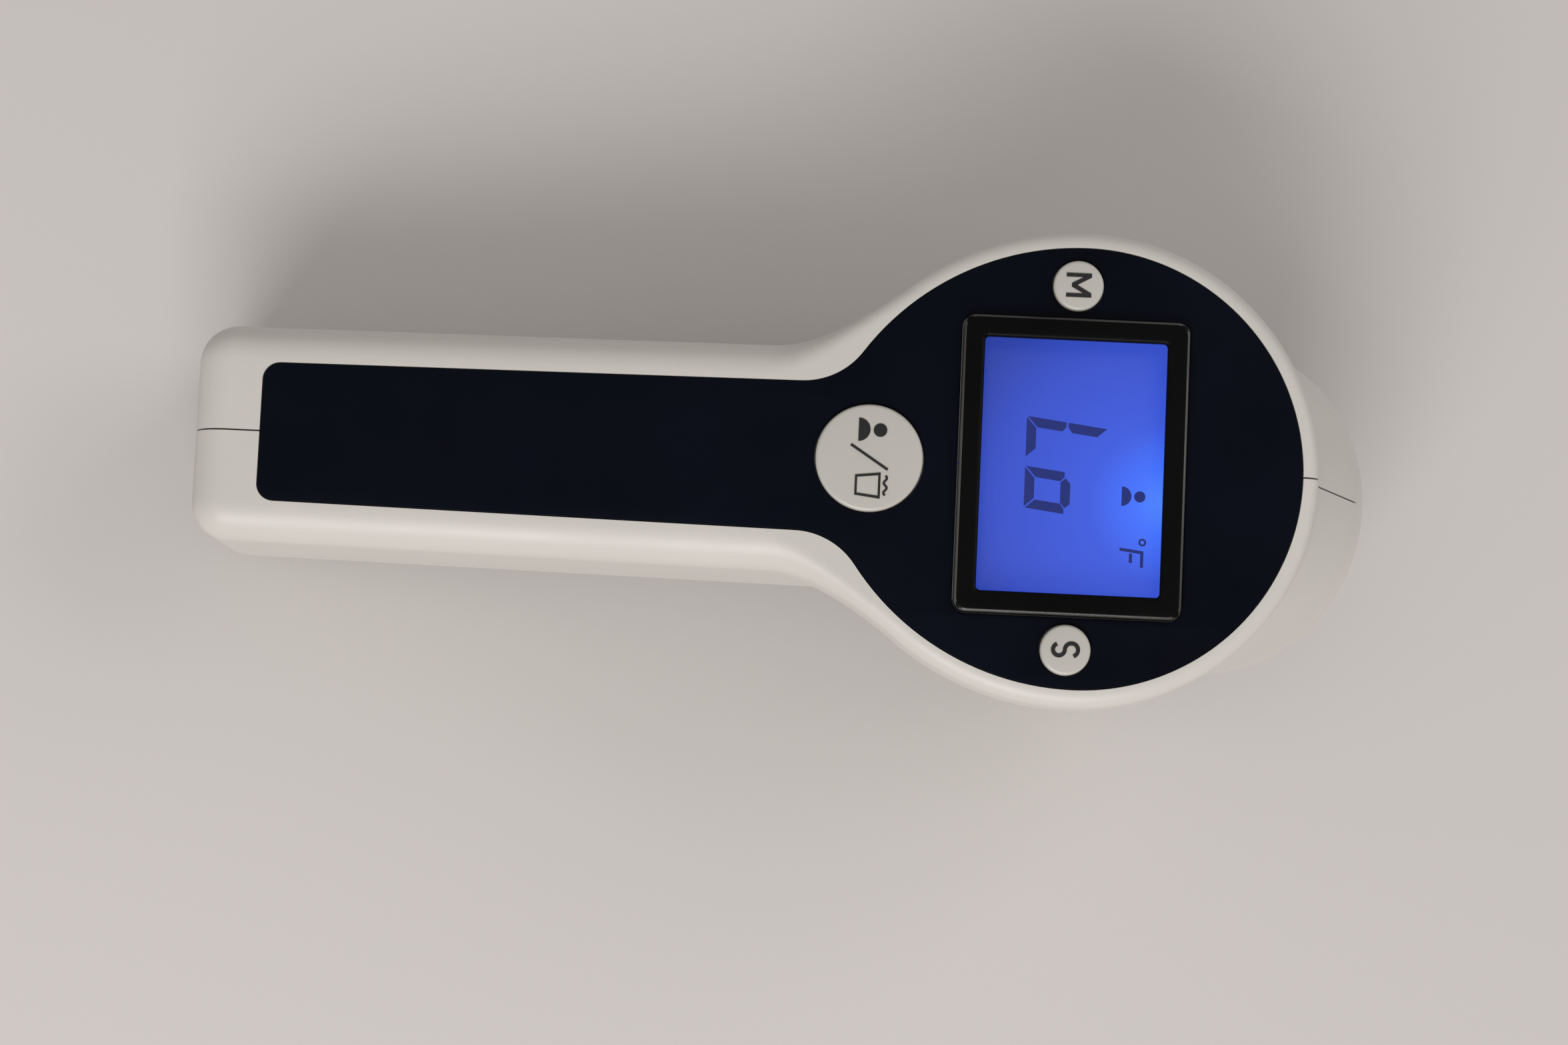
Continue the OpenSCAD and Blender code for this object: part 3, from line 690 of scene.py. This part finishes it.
def cover_piece():
    """Battery cover: the handle's outer skin within the opening, with a ribbed thumb grip."""
    sections = []
    butt_xs = [0.15, 0.5, 1.0, 1.7, 2.6, 3.8, 5.0, 6.0]
    xs = butt_xs + list(np.arange(8, COVER_LEN, 2.0)) + [COVER_LEN]
    half_w, tip = COVER_W / 2, TONGUE_W / 2
    for x in xs:
        rise = BUTT_R - math.sqrt(max(BUTT_R ** 2 - max(BUTT_R - x, 0) ** 2, 0.0))
        base = -HANDLE_D + COVER_LIFT + rise
        top = max(-HANDLE_D + 2.3, base + 1.0)
        lip = max(-HANDLE_D + 1.15, base + 0.2)
        sections.append([(x, -half_w + 0.3, base), (x, half_w - 0.3, base), (x, half_w, base + 0.3),
                         (x, half_w, lip + 0.12), (x, tip, lip + 0.12), (x, tip, top - 0.15),
                         (x, half_w, top - 0.15), (x, half_w, top), (x, -half_w, top),
                         (x, -half_w, top - 0.15), (x, -tip, top - 0.15), (x, -tip, lip + 0.12),
                         (x, -half_w, lip + 0.12), (x, -half_w, base + 0.3)])
    verts, faces = loft(sections, closed=False)
    door = add("battery_door", verts, faces, "cover", "battery_cover", (M["cover"],))
    trim_to_ground(door.data, COVER_LIFT)
    shade(door.data, 35)
    ribs, z = [], -HANDLE_D + COVER_LIFT
    for i in range(7):
        x, wide = 40 + 2.1 * i, 5.6 - 0.45 * i
        outline = [(px + x, py) for px, py in rounded_rect(0.9, 2 * wide, 0.42, 5)]
        ribs.append(loft([[(px, py, z + 0.2) for px, py in outline],
                          [(px, py, z - 0.12) for px, py in outline],
                          [(x + (px - x) * 0.55, py * 0.97, z - 0.25) for px, py in outline]],
                         closed=False))
    verts, faces = joined(ribs)
    add("door_grip_ribs", verts, faces, "cover", None, (M["cover"],))


# ---------------------------------------------------------------- face
def face_panel():
    """Dark panel with holes for the display frame and the three buttons."""
    holes = [[(x + DISPLAY_X, y) for x, y in rounded_rect(BEZEL_L + 0.3, BEZEL_W + 0.3, 1.75)],
             circle(MODE_X, 0, MODE_R + 0.18, 96)]
    holes += [circle(DISPLAY_X, s * SIDE_Y, SIDE_R + 0.18) for s in (-1, 1)]
    plate("panel_plate", [panel_outline(0.09)] + holes, PANEL_TOP - PANEL_T, PANEL_TOP, 0.14, 3,
          node="face_panel", slot="panel_film", mats=(M["panel"],))


def bezel():
    """Raised display frame: a rounded rectangle swept by a profile of (inset, height)."""
    width = (BEZEL_L - VIEW_L) / 2
    profile = [(0, BEZEL_LOW), (0, 0.92), (0.05, 1.08), (0.16, 1.2), (0.34, 1.29), (0.6, BEZEL_TOP),
               (width - 0.62, BEZEL_TOP - 0.05), (width - 0.3, BEZEL_TOP - 0.1),
               (width - 0.08, BEZEL_TOP - 0.24), (width, BEZEL_TOP - 0.5), (width, 0.27),
               (width - 1.1, 0.27), (width - 1.1, BEZEL_LOW)]
    loops = []
    for inset, z in profile:
        r = 1.6 + (0.6 - 1.6) * inset / width
        outline = rounded_rect(BEZEL_L - 2 * inset, BEZEL_W - 2 * inset, max(r, 0.3), 8)
        loops.append([(x + DISPLAY_X, y, z) for x, y in outline])
    verts, faces = loft(loops)
    obj = add("display_frame", verts, faces, node="lcd_bezel",
              mats=(M["bezel"], M["edge_highlight_and_wear"]), smooth=50)
    # The slanted faces around the frame's outer edge take the lighter material: a painted highlight
    # along the rounded edge, and wear.
    normal = (PLACE.to_3x3() @ Vector((0, 0, 1))).normalized()
    for face in obj.data.polygons:
        up = face.normal.dot(normal)
        local = PLACE.inverted() @ face.center
        outer = abs(local.x - DISPLAY_X) > BEZEL_L / 2 - 0.4 or abs(local.y) > BEZEL_W / 2 - 0.4
        if outer and 0.12 < up < 0.93:
            face.material_index = 1


def window():
    outline = [(x + DISPLAY_X, y) for x, y in rounded_rect(VIEW_L + 1.9, VIEW_W + 1.9, 0.7)]
    plate("window_plate", [outline], -0.85, 0.15, 0.08, 2, node="display_window",
          slot="clear_window", mats=(M["window"],))


def upright(points, x0, y0, size=1.0, slant=0.0):
    """Glyph points (right, up) to the face, where up is +x and right is -y."""
    return [(x0 + v * size, y0 - (u + v * slant) * size) for u, v in points]


def ribbon(points, width):
    """Closed outline of a stroke of even width along a polyline, mitred at its corners."""
    pts = [Vector(p) for p in points]
    left, right = [], []
    for i, p in enumerate(pts):
        before = (p - pts[i - 1]).normalized() if i else (pts[1] - p).normalized()
        after = (pts[i + 1] - p).normalized() if i < len(pts) - 1 else before
        normal = (Vector((-before.y, before.x)) + Vector((-after.y, after.x))).normalized()
        reach = width / 2 / max(normal.dot(Vector((-after.y, after.x))), 0.35)
        left.append(tuple(p + normal * reach))
        right.append(tuple(p - normal * reach))
    return left + right[::-1]


def digit_segments(lit):
    """Outlines of the lit bars of a seven-bar digit, 5.6 wide and 10.9 tall, bars a to g."""
    w, h, t, gap = 5.6, 10.9, 1.3, 0.14
    m = h / 2
    bars = {
        "a": [(gap, h), (w - gap, h), (w - t - gap, h - t), (t + gap, h - t)],
        "d": [(gap, 0), (w - gap, 0), (w - t - gap, t), (t + gap, t)],
        "b": [(w, h - gap), (w, m + gap), (w - t / 2, m + gap), (w - t, m + t / 2),
              (w - t, h - t - gap)],
        "c": [(w, gap), (w, m - gap), (w - t / 2, m - gap), (w - t, m - t / 2), (w - t, t + gap)],
        "e": [(0, gap), (0, m - gap), (t / 2, m - gap), (t, m - t / 2), (t, t + gap)],
        "f": [(0, h - gap), (0, m + gap), (t / 2, m + gap), (t, m + t / 2), (t, h - t - gap)],
        "g": [(t / 2 + gap, m), (t + gap, m + t / 2), (w - t - gap, m + t / 2), (w - t / 2 - gap, m),
              (w - t - gap, m - t / 2), (t + gap, m - t / 2)],
    }
    return [bars[name] for name in lit]


def bust(scale=1.0):
    """A plain front-view figure: a round head over a half-round pair of shoulders."""
    head = [(scale * x, scale * y) for x, y in circle(0, 1.05, 0.92, 32)]
    chest = [(scale * x, scale * y) for x, y in arc(0, -1.9, 1.6, 0, 180, 20)]
    return [head, chest]


SLANT = math.tan(math.radians(7))


def print_plate(name, outlines, z, thickness, body, mat, slot=None):
    plate(name, outlines, z, z + thickness, body=body, mats=(mat,), slot=slot)


def readout():
    """The cell and its dark marks: two digits, a figure and the unit."""
    x0, x1, half_w = DISPLAY_X - 15, DISPLAY_X + 13.5, 18
    cell = [(x0, -half_w), (x1, -half_w), (x1, half_w), (x0, half_w)]
    plate("lcd_cell_plate", [cell], GLASS_TOP - 2, GLASS_TOP, 0.05, 1, node="lcd_glass",
          slot="lcd_cell", mats=(M["lcd"],))
    base_x = DISPLAY_X - VIEW_L / 2 + 6.1
    z = GLASS_TOP + 0.02
    for name, lit, y in (("digit_tens", "def", 6.9), ("digit_units", "cdeg", 0.2)):
        bars = [upright(bar, base_x, y, 1.0, SLANT) for bar in digit_segments(lit)]
        print_plate(name, bars, z, 0.03, "case", M["segment"], "lcd_cell")
    icon = [upright(part, DISPLAY_X + 8.5, -3.3, 0.82) for part in bust()]
    print_plate("readout_figure", icon, z, 0.03, "case", M["segment"], "lcd_cell")
    stroke = 0.42
    unit = [ribbon([(0, 0), (0, 3.0), (2.0, 3.0)], stroke), ribbon([(0.35, 1.5), (1.6, 1.5)], stroke)]
    unit = [upright(part, DISPLAY_X + 6.9, -10.4, 1.0, SLANT) for part in unit]
    print_plate("readout_unit", unit, z, 0.03, "case", M["segment"], "lcd_cell")
    ring = [upright(circle(0, 0, r, 24), DISPLAY_X + 9.9, -9.4) for r in (0.52, 0.26)]
    print_plate("readout_degree", ring, z, 0.03, "case", M["segment"], "lcd_cell")


# ---------------------------------------------------------------- controls
def button_profile(r, edge_z, crown, flange):
    """Half section of a cap with a rounded edge and a low dome."""
    rim = [(r - 0.45 + 0.45 * math.sin(a), edge_z - 0.45 + 0.45 * math.cos(a))
           for a in [math.radians(v) for v in range(90, -1, -15)]]
    dome = [((r - 0.45) * (1 - i / 6), edge_z + crown * (1 - (1 - i / 6) ** 2)) for i in range(1, 7)]
    return [(0, CAP_LOW), (flange, CAP_LOW), (flange, FLANGE_TOP), (r, FLANGE_TOP)] + rim + dome


def buttons():
    mode, side = (MODE_R, MODE_EDGE, MODE_CROWN), (SIDE_R, SIDE_EDGE, SIDE_CROWN)
    spots = (("mode_cap", "mode_key", "mode_button", MODE_X, 0, mode),
             ("memory_cap", "memory_key", "memory_button", DISPLAY_X, SIDE_Y, side),
             ("setup_cap", "setup_key", "setup_button", DISPLAY_X, -SIDE_Y, side))
    for name, body, node, x, y, (r, edge, crown) in spots:
        verts, faces = lathe(button_profile(r, edge, crown, r + FLANGE), 96)
        add(name, verts, faces, body, node, (M["button"],),
            local=Matrix.Translation((x, y, 0)))


def dense(points, step=0.35):
    """The outline with extra points along its sides, so that a print can follow a dome."""
    out = []
    for a, b in zip(points, points[1:] + points[:1]):
        count = max(1, round(math.dist(a, b) / step))
        out += [(a[0] + (b[0] - a[0]) * i / count, a[1] + (b[1] - a[1]) * i / count)
                for i in range(count)]
    return out


def draped(obj, x0, y0, r, crown):
    """Lowers a print onto the button's dome."""
    back = PLACE.inverted()
    for v in obj.data.vertices:
        p = back @ v.co
        share = min(math.hypot(p.x - x0, p.y - y0) / (r - 0.45), 1)
        p.z -= crown * share ** 2
        v.co = PLACE @ p


def button_prints():
    """Thin prints on the caps: M, S, and a figure, a slash and a cup."""
    thick, lift = 0.06, 0.02
    letter_m = [(-1.45, -1.5), (-1.45, 1.5), (-0.95, 1.5), (0, -0.2), (0.95, 1.5), (1.45, 1.5),
                (1.45, -1.5), (0.98, -1.5), (0.98, 0.55), (0.22, -0.85), (-0.22, -0.85), (-0.98, 0.55),
                (-0.98, -1.5)]
    letter_s = ribbon(arc(0, 0.7, 0.78, 20, 270, 18) + arc(0, -0.78, 0.70, 90, -160, 18)[1:], 0.48)
    for name, body, y, letter in (("memory_mark", "memory_key", SIDE_Y, letter_m),
                                  ("setup_mark", "setup_key", -SIDE_Y, letter_s)):
        shapes = [dense(upright(letter, DISPLAY_X, y, 1.12))]
        base = SIDE_EDGE + SIDE_CROWN + lift
        obj = plate(name, shapes, base, base + thick, body=body, mats=(M["ink"],),
                    slot="chip_black")
        draped(obj, DISPLAY_X, y, SIDE_R, SIDE_CROWN)
    figure = [upright(part, MODE_X + 0.3, 3.7, 0.98) for part in bust()]
    slash = upright(ribbon([(-1.6, -2.5), (1.6, 2.5)], 0.34), MODE_X, 0.05)
    cup = [(-1.75, 1.7), (-1.35, -1.7), (1.35, -1.7), (1.75, 1.7)]
    cup_in = [(x * 0.78, y * 0.82) for x, y in cup]
    cup_shape = [upright(cup, MODE_X - 0.1, -3.7), upright(cup_in, MODE_X - 0.1, -3.7)]
    steam = [(x * 0.22 - 1.35, 2.35 + 0.22 * math.sin(x * 1.05)) for x in range(13)]
    wave = [upright(ribbon(steam, 0.3), MODE_X - 0.1, -3.7)]
    marks = [dense(mark) for mark in figure + [slash] + cup_shape + wave]
    base = MODE_EDGE + MODE_CROWN + lift
    obj = plate("mode_mark", marks, base, base + thick,
                body="mode_key", mats=(M["ink"],), slot="chip_black")
    draped(obj, MODE_X, 0, MODE_R, MODE_CROWN)


def sided_rect(l, w, r, corner=5, side=14):
    """A rounded rectangle with extra points along its straight sides."""
    pts, out = rounded_rect(l, w, r, corner), []
    for i, a in enumerate(pts):
        b = pts[(i + 1) % len(pts)]
        steps = side if i % (corner + 1) == corner else 1
        out += [(a[0] + (b[0] - a[0]) * k / steps, a[1] + (b[1] - a[1]) * k / steps)
                for k in range(steps)]
    return out


def trigger_piece():
    """Trigger pad with a scooped, rounded front on a retaining flange."""
    mid, half_l = (TRIGGER_X0 + TRIGGER_X1) / 2, (TRIGGER_X1 - TRIGGER_X0) / 2
    half_w, front = TRIGGER_HALF_W, TRIGGER_FRONT
    outline = sided_rect(2 * half_l, 2 * half_w, 1.1)
    loops = [[(mid + x, y, TRIGGER_TOP) for x, y in outline],
             [(mid + x, y, front + 1.4 + scoop(x)) for x, y in outline]]
    for inset, drop in ((0.1, 0.9), (0.35, 0.45), (0.75, 0.16), (1.25, 0.0)):
        ring = sided_rect(2 * (half_l - inset), 2 * (half_w - inset), max(1.1 - inset * 0.5, 0.5))
        loops.append([(mid + x, y, front + drop + scoop(x) + dish(y)) for x, y in ring])
    inner = sided_rect(2 * half_l - 2.5, 2 * half_w - 2.5, 0.5)
    for share in (0.85, 0.65, 0.45, 0.25, 0.08):
        ring = [(x * share, y * share) for x, y in inner]
        loops.append([(mid + x, y, front + scoop(x) + dish(y)) for x, y in ring])
    flange = [[(mid + x, y, z) for x, y in rounded_rect(2 * half_l + 2, 2 * half_w + 2, 1.2, 5)]
              for z in (TRIGGER_LOW, TRIGGER_TOP)]
    parts = [loft(loops, closed=False), loft(flange, closed=False)]
    for px, pr, z_top in (SWITCH_POST, SPRING_PIN):
        verts, faces = lathe([(0, TRIGGER_TOP), (pr, TRIGGER_TOP), (pr, z_top), (0, z_top)], 32)
        parts.append(([(x + px, y, z) for x, y, z in verts], faces))
    verts, faces = joined(parts)
    add("trigger_pad", verts, faces, "trigger", "trigger", (M["trigger"],),
        smooth=40)


def scoop(x):
    """How far the finger scoop cuts into the pad, by distance along it."""
    if abs(x) >= 7.2:
        return 0.0
    return SCOOP_DEPTH - (SCOOP_R - math.sqrt(SCOOP_R * SCOOP_R - min(abs(x), 7.0) ** 2))


def dish(y):
    """How far the pad falls away towards its long sides."""
    return 0.35 * (abs(y) / TRIGGER_HALF_W) ** 2


# ---------------------------------------------------------------- nozzle
def nose_ring():
    """Ring that closes the nozzle, with a rounded lip and a flat to rest on."""
    s0, lip_r, bore_edge = NOSE_LEN - RING_LEN, 1.5, 0.9
    lip = arc(MOUTH_R - lip_r, NOSE_LEN - lip_r, lip_r, 0, 90, 10)
    inner = arc(21.3, NOSE_LEN - bore_edge, bore_edge, 90, 180, 6)
    spigot_r = MOUTH_R - 2.05
    profile = [(20.4, s0 - 5), (spigot_r, s0 - 5), (spigot_r, s0), (MOUTH_R - 0.15, s0),
               (MOUTH_R, s0 + 0.15)] + lip + inner
    verts, faces = lathe(profile, 160)
    ring = add("nose_ring_trim", verts, faces, "case", "nose_ring", (M["ring"],),
               local=NOZZLE)
    trim_to_ground(ring.data)
    shade(ring.data, 35)


def reflector_cone():
    top, low = CONE_TOP, CONE_LOW
    steps = [(5 + 13.6 * t, low + 0.6 + 19.9 * t) for t in [i / 8 for i in range(9)]]
    profile = [(3.4, low), (3.4, low + 0.6)] + steps
    profile += [(18.9, top + 0.05), (20.2, top), (20.2, top - 5), (18.9, top - 5), (18.9, top - 2.4),
                (6, low)]
    verts, faces = lathe(profile, 128)
    add("reflector_cone", verts, faces, "case", "sensor_cone", (M["cone"],),
        local=NOZZLE)


def sensor():
    """Metal can with four pins, and the filter in its cap."""
    base = CAN_LOW
    profile = [(0, base), (4.6, base), (4.6, base + 0.7), (4.1, base + 0.75), (4.1, base + 3.95),
               (3.85, base + 4.2), (2.4, base + 4.2), (2.4, base + 3.6), (0, base + 3.6)]
    parts = [lathe(profile, 64)]
    pin_r, pin_circle = 0.22, 2.5
    for k in range(4):
        a = math.radians(45 + 90 * k)
        v, f = lathe([(0, base - 2.6), (pin_r, base - 2.6), (pin_r, base + 0.1), (0, base + 0.1)], 12)
        parts.append(([(x + pin_circle * math.cos(a), y + pin_circle * math.sin(a), z)
                       for x, y, z in v], f))
    verts, faces = joined(parts)
    add("sensor_can", verts, faces, "case", "thermopile_sensor", (M["can"],),
        local=NOZZLE)
    low = FILTER_LOW
    verts, faces = lathe([(0, low), (2.3, low), (2.3, low + 0.42), (2.2, low + 0.5), (0, low + 0.5)],
                         48)
    add("sensor_filter", verts, faces, "case", "sensor_window", (M["filter"],),
        local=NOZZLE)


# ---------------------------------------------------------------- pieces shown from the CAD
CAD_LOOKS = {
    "light_guide": "guide", "lcd_holder": "holder", "zebra_strip": "rubber", "main_board": "board",
    "microcontroller": "chip", "buzzer": "chip", "mode_switch": "steel", "memory_switch": "steel",
    "setup_switch": "steel", "trigger_switch": "steel", "mode_switch_stem": "nylon",
    "memory_switch_stem": "nylon", "setup_switch_stem": "nylon", "trigger_switch_stem": "nylon",
    "trigger_spring": "steel", "battery_spring_1": "steel", "battery_spring_2": "steel",
    "sensor_collar": "brass", "sensor_board": "board", "battery_tray": "tray", "battery_1": "sleeve",
    "battery_2": "sleeve", "bridge_contact": "steel", "positive_contact": "steel",
    "negative_contact": "steel", "housing_screws": "steel", "board_screws": "steel",
    "positive_lead": "lead_red", "negative_lead": "lead_black", "sensor_leads": "lead_white",
}
SOFT_EDGES = {"lcd_holder", "battery_tray", "microcontroller", "housing_screws", "board_screws",
              "buzzer"}
EDGE_BEVEL = 0.15


def cad_looks():
    """Gives the remaining CAD pieces their materials, and a fine bevel to those in SOFT_EDGES."""
    for node, look in CAD_LOOKS.items():
        obj = frame["nodes"][node]
        obj.data.materials.clear()
        obj.data.materials.append(M[look])
        if node in SOFT_EDGES:
            bevel = obj.modifiers.new("edges", "BEVEL")
            bevel.width = EDGE_BEVEL * MM
            bevel.segments = 2
            bevel.limit_method = "ANGLE"
            bevel.angle_limit = math.radians(40)


# ---------------------------------------------------------------- stage, light and camera
def stage():
    """Pale table top and an even, dim room light."""
    size = 3.0
    mesh = bpy.data.meshes.new("floor")
    mesh.from_pydata([(-size, -size, 0), (size, -size, 0), (size, size, 0), (-size, size, 0)], [],
                     [(0, 1, 2, 3)])
    floor = bpy.data.objects.new("floor", mesh)
    bpy.context.scene.collection.objects.link(floor)
    mesh.materials.append(material("floor_pale", (0.595, 0.578, 0.562), 0.85, specular=0.2))
    world = bpy.data.worlds.new("soft_room")
    bpy.context.scene.world = world
    world.use_nodes = True
    background = world.node_tree.nodes["Background"]
    background.inputs["Color"].default_value = (1.0, 0.955, 0.93, 1)
    background.inputs["Strength"].default_value = 0.42


def area(name, at, target, size_x, size_y, power, color=(1, 1, 1)):
    light = bpy.data.lights.new(name, "AREA")
    light.shape = "RECTANGLE"
    light.size, light.size_y = size_x, size_y
    light.energy = power
    light.color = color
    obj = bpy.data.objects.new(name, light)
    bpy.context.scene.collection.objects.link(obj)
    obj.location = at
    obj.rotation_euler = (Vector(target) - Vector(at)).to_track_quat("-Z", "Y").to_euler()
    return obj


def lights():
    """A large soft window light from the near left and a weaker fill from the far right."""
    area("key", (-0.28, -0.78, 0.72), (0.02, 0, 0.03), 0.75, 0.55, 8.6, (1.0, 0.965, 0.95))
    area("fill", (0.85, 0.45, 0.8), (0, 0, 0.03), 0.9, 0.9, 3.6, (1.0, 0.96, 0.95))


CAMERA_DISTANCE = 0.48
VIEW_WIDTH = 207.6
LOOK_AT = (79.1, -9.1, 0.0)
CAMERA_TILT = math.radians(6)
CAMERA_ROLL = math.radians(2.6)


def camera():
    """Looks squarely down on the face, leaning and rolled a little."""
    data = bpy.data.cameras.new("camera")
    data.sensor_width = 36
    data.lens = 36 * CAMERA_DISTANCE / (VIEW_WIDTH * MM)
    data.clip_start, data.clip_end = 0.01, 20
    cam = bpy.data.objects.new("camera", data)
    bpy.context.scene.collection.objects.link(cam)
    x_axis = Vector((1, 0, 0))
    back = Vector((0, -math.sin(CAMERA_TILT), math.cos(CAMERA_TILT)))
    across = back.cross(x_axis)
    right = x_axis * math.cos(CAMERA_ROLL) + across * math.sin(CAMERA_ROLL)
    up = back.cross(right)
    turn = Matrix.Rotation(-TILT, 3, "Y")
    rotation = Matrix((turn @ right, turn @ up, turn @ back)).transposed()
    target = PLACE @ Vector(LOOK_AT)
    cam.matrix_world = Matrix.Translation(target + turn @ back * CAMERA_DISTANCE) @ rotation.to_4x4()
    bpy.context.scene.camera = cam
    bpy.context.scene.view_settings.view_transform = "Standard"


housings()
screw_wells()
cover_piece()
face_panel()
bezel()
window()
readout()
buttons()
button_prints()
trigger_piece()
nose_ring()
reflector_cone()
sensor()
cad_looks()
stage()
lights()
camera()
